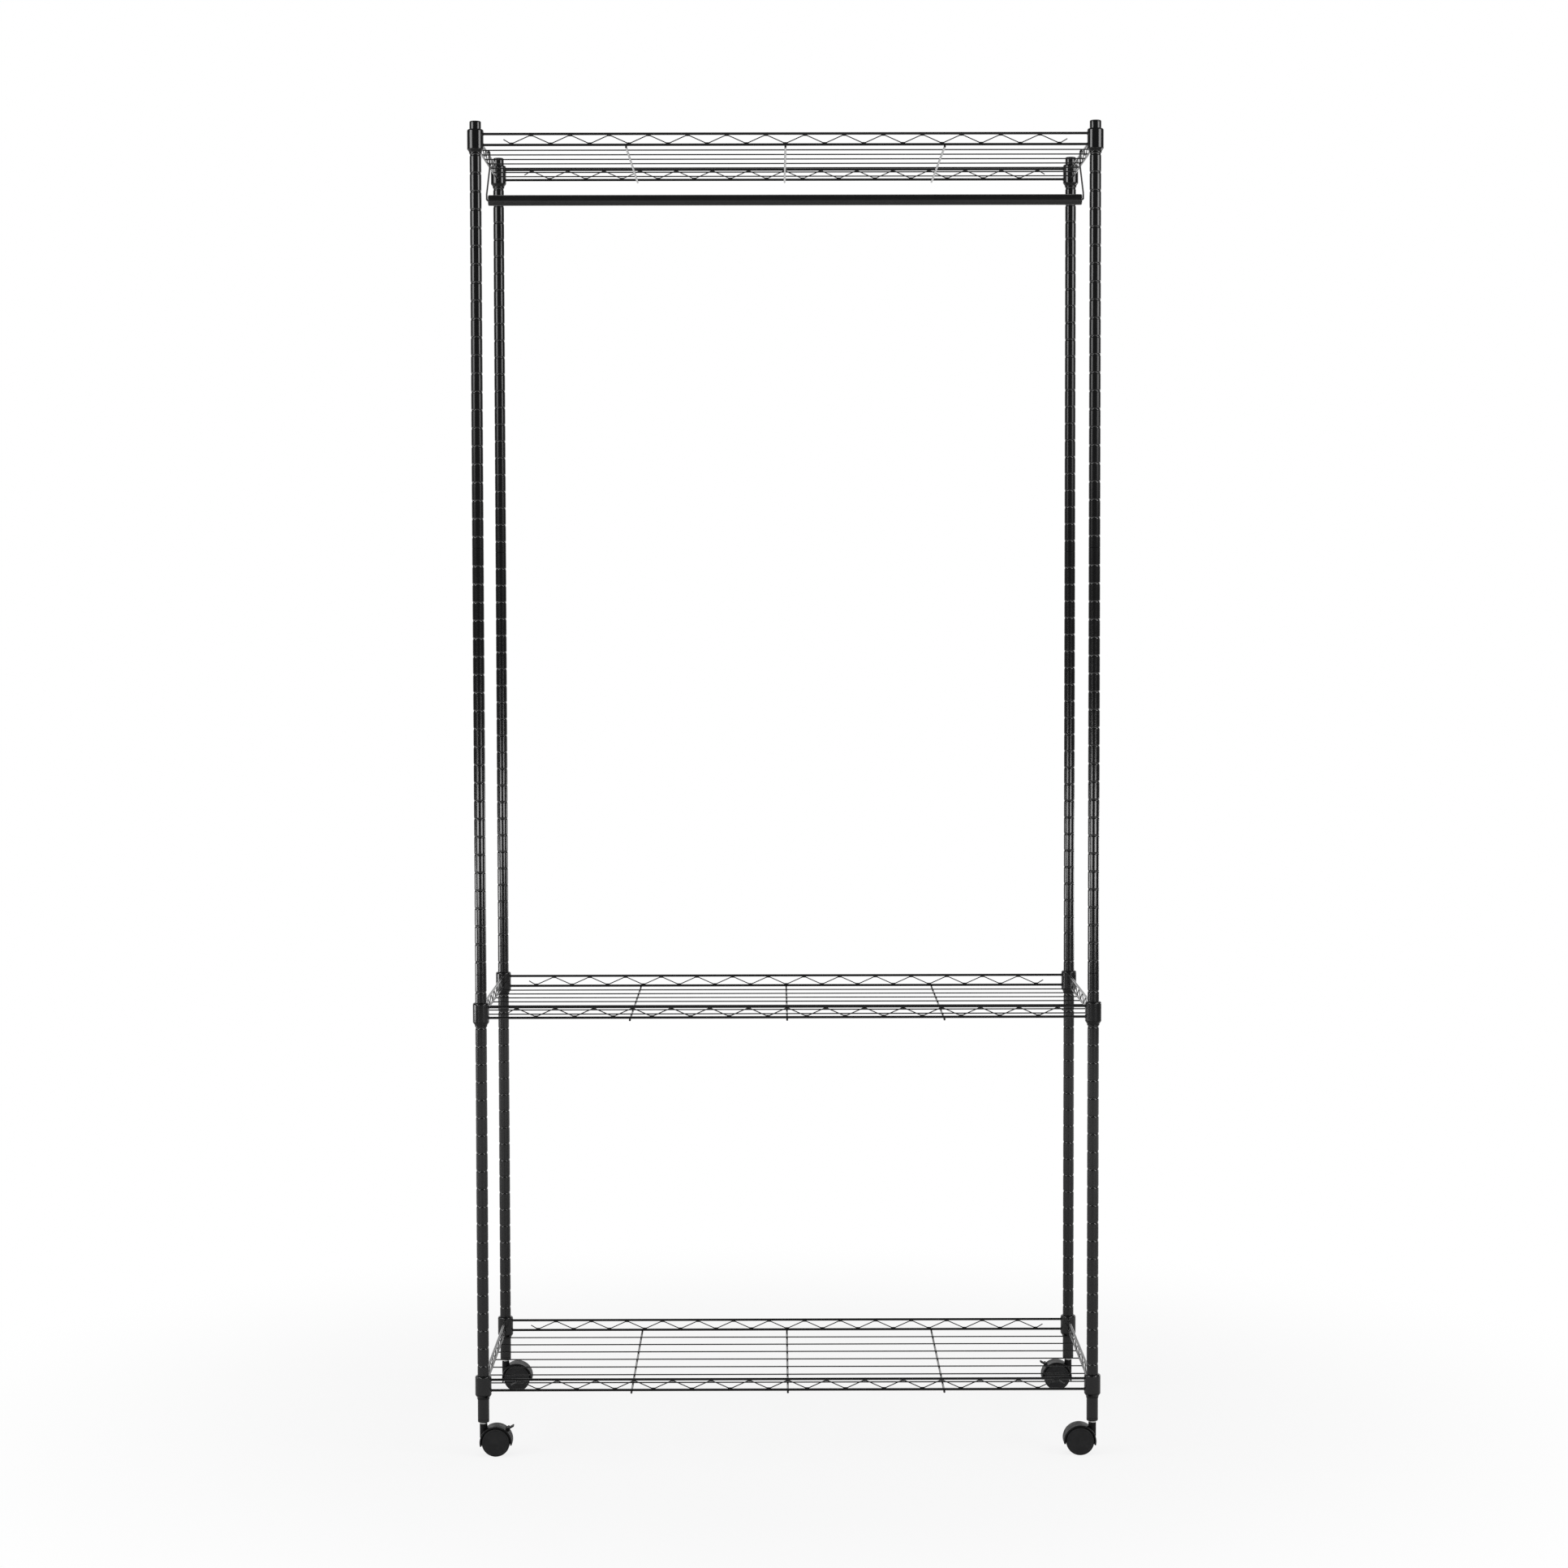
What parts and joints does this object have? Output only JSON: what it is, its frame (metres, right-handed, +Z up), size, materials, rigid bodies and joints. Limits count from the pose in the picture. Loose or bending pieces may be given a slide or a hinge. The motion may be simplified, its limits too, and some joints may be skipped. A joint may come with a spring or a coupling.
{
  "type": "open garment rack on casters",
  "caption": "Tall open wardrobe rack of grooved black posts and wire shelves with a hanging rod under the top shelf, rolling on hooded twin-wheel casters",
  "frame": {"origin": "on the floor under the middle of the rack", "axes": "+X along the rack to the right seen from the front, +Y from front to rear, +Z up"},
  "size_m": [0.8912, 0.446, 1.8866],
  "materials": {
    "post_coat": "gloss black powder coat on steel tube",
    "shelf_coat": "gloss black powder coat on steel wire",
    "rod_coat": "satin black powder coat on steel tube",
    "hook_coat": "black powder coat on bent steel wire",
    "insert_steel": "plain turned steel, hidden in the tubes",
    "bright_steel": "bright zinc-plated steel",
    "cap_plastic": "glossy black moulded cap",
    "foot_plastic": "satin black moulded insert",
    "sleeve_plastic": "satin black moulded half sleeves",
    "plug_plastic": "satin black moulded plug",
    "hood_plastic": "satin charcoal moulded nylon",
    "wheel_plastic": "matte charcoal moulded nylon"
  },
  "bodies": {
    "rack": {"bottom_shelf_collars": "shelf_coat", "bottom_shelf_cross_wires": "shelf_coat", "bottom_shelf_deck_wires": "shelf_coat", "bottom_shelf_rails": "shelf_coat", "bottom_shelf_sleeves": "sleeve_plastic", "bottom_shelf_trusses": "shelf_coat", "caster_front_left_stem": "bright_steel", "caster_front_right_stem": "bright_steel", "caster_rear_left_stem": "bright_steel", "caster_rear_right_stem": "bright_steel", "hanging_rod": "rod_coat", "middle_shelf_collars": "shelf_coat", "middle_shelf_cross_wires": "shelf_coat", "middle_shelf_deck_wires": "shelf_coat", "middle_shelf_rails": "shelf_coat", "middle_shelf_sleeves": "sleeve_plastic", "middle_shelf_trusses": "shelf_coat", "post_foot_inserts": "foot_plastic", "post_front_left_lower": "post_coat", "post_front_left_middle": "post_coat", "post_front_left_upper": "post_coat", "post_front_right_lower": "post_coat", "post_front_right_middle": "post_coat", "post_front_right_upper": "post_coat", "post_joint_studs": "insert_steel", "post_rear_left_lower": "post_coat", "post_rear_left_middle": "post_coat", "post_rear_left_upper": "post_coat", "post_rear_right_lower": "post_coat", "post_rear_right_middle": "post_coat", "post_rear_right_upper": "post_coat", "post_top_caps": "cap_plastic", "rod_end_plugs": "plug_plastic", "rod_hook_left": "hook_coat", "rod_hook_right": "hook_coat", "top_shelf_collars": "shelf_coat", "top_shelf_cross_wires": "shelf_coat", "top_shelf_deck_wires": "shelf_coat", "top_shelf_rails": "shelf_coat", "top_shelf_sleeves": "sleeve_plastic", "top_shelf_trusses": "shelf_coat"},
    "caster_front_left": {"caster_front_left_hood": "hood_plastic", "caster_front_left_axle": "bright_steel"},
    "caster_front_left_wheel_front": {"caster_front_left_wheel_front": "wheel_plastic"},
    "caster_front_left_wheel_rear": {"caster_front_left_wheel_rear": "wheel_plastic"},
    "caster_front_left_brake_lever": {"caster_front_left_brake_lever": "hood_plastic"},
    "caster_front_right": {"caster_front_right_hood": "hood_plastic", "caster_front_right_axle": "bright_steel"},
    "caster_front_right_wheel_front": {"caster_front_right_wheel_front": "wheel_plastic"},
    "caster_front_right_wheel_rear": {"caster_front_right_wheel_rear": "wheel_plastic"},
    "caster_rear_left": {"caster_rear_left_hood": "hood_plastic", "caster_rear_left_axle": "bright_steel"},
    "caster_rear_left_wheel_front": {"caster_rear_left_wheel_front": "wheel_plastic"},
    "caster_rear_left_wheel_rear": {"caster_rear_left_wheel_rear": "wheel_plastic"},
    "caster_rear_right": {"caster_rear_right_hood": "hood_plastic", "caster_rear_right_axle": "bright_steel"},
    "caster_rear_right_wheel_front": {"caster_rear_right_wheel_front": "wheel_plastic"},
    "caster_rear_right_wheel_rear": {"caster_rear_right_wheel_rear": "wheel_plastic"},
    "caster_rear_right_brake_lever": {"caster_rear_right_brake_lever": "hood_plastic"}
  },
  "joints": [
    {"name": "caster_front_left_swivel", "type": "hinge", "parent": "rack", "child": "caster_front_left", "pos_m": [-0.434, -0.208, 0.0449], "axis": [0, 0, 1], "continuous": true},
    {"name": "caster_front_left_wheel_front_spin", "type": "hinge", "parent": "caster_front_left", "child": "caster_front_left_wheel_front", "pos_m": [-0.416, -0.208, 0.02], "axis": [0, 1, 0], "continuous": true},
    {"name": "caster_front_left_wheel_rear_spin", "type": "hinge", "parent": "caster_front_left", "child": "caster_front_left_wheel_rear", "pos_m": [-0.416, -0.208, 0.02], "axis": [0, 1, 0], "continuous": true},
    {"name": "caster_front_left_brake", "type": "hinge", "parent": "caster_front_left", "child": "caster_front_left_brake_lever", "pos_m": [-0.39863, -0.208, 0.03798], "axis": [0, 1, 0], "range_deg": [0, 20]},
    {"name": "caster_front_right_swivel", "type": "hinge", "parent": "rack", "child": "caster_front_right", "pos_m": [0.434, -0.208, 0.0449], "axis": [0, 0, 1], "continuous": true},
    {"name": "caster_front_right_wheel_front_spin", "type": "hinge", "parent": "caster_front_right", "child": "caster_front_right_wheel_front", "pos_m": [0.416, -0.208, 0.02], "axis": [0, 1, 0], "continuous": true},
    {"name": "caster_front_right_wheel_rear_spin", "type": "hinge", "parent": "caster_front_right", "child": "caster_front_right_wheel_rear", "pos_m": [0.416, -0.208, 0.02], "axis": [0, 1, 0], "continuous": true},
    {"name": "caster_rear_left_swivel", "type": "hinge", "parent": "rack", "child": "caster_rear_left", "pos_m": [-0.434, 0.208, 0.0449], "axis": [0, 0, 1], "continuous": true},
    {"name": "caster_rear_left_wheel_front_spin", "type": "hinge", "parent": "caster_rear_left", "child": "caster_rear_left_wheel_front", "pos_m": [-0.416, 0.208, 0.02], "axis": [0, 1, 0], "continuous": true},
    {"name": "caster_rear_left_wheel_rear_spin", "type": "hinge", "parent": "caster_rear_left", "child": "caster_rear_left_wheel_rear", "pos_m": [-0.416, 0.208, 0.02], "axis": [0, 1, 0], "continuous": true},
    {"name": "caster_rear_right_swivel", "type": "hinge", "parent": "rack", "child": "caster_rear_right", "pos_m": [0.434, 0.208, 0.0449], "axis": [0, 0, 1], "continuous": true},
    {"name": "caster_rear_right_wheel_front_spin", "type": "hinge", "parent": "caster_rear_right", "child": "caster_rear_right_wheel_front", "pos_m": [0.416, 0.208, 0.02], "axis": [0, 1, 0], "continuous": true},
    {"name": "caster_rear_right_wheel_rear_spin", "type": "hinge", "parent": "caster_rear_right", "child": "caster_rear_right_wheel_rear", "pos_m": [0.416, 0.208, 0.02], "axis": [0, 1, 0], "continuous": true},
    {"name": "caster_rear_right_brake", "type": "hinge", "parent": "caster_rear_right", "child": "caster_rear_right_brake_lever", "pos_m": [0.39863, 0.208, 0.03798], "axis": [0, -1, 0], "range_deg": [0, 20]}
  ]
}
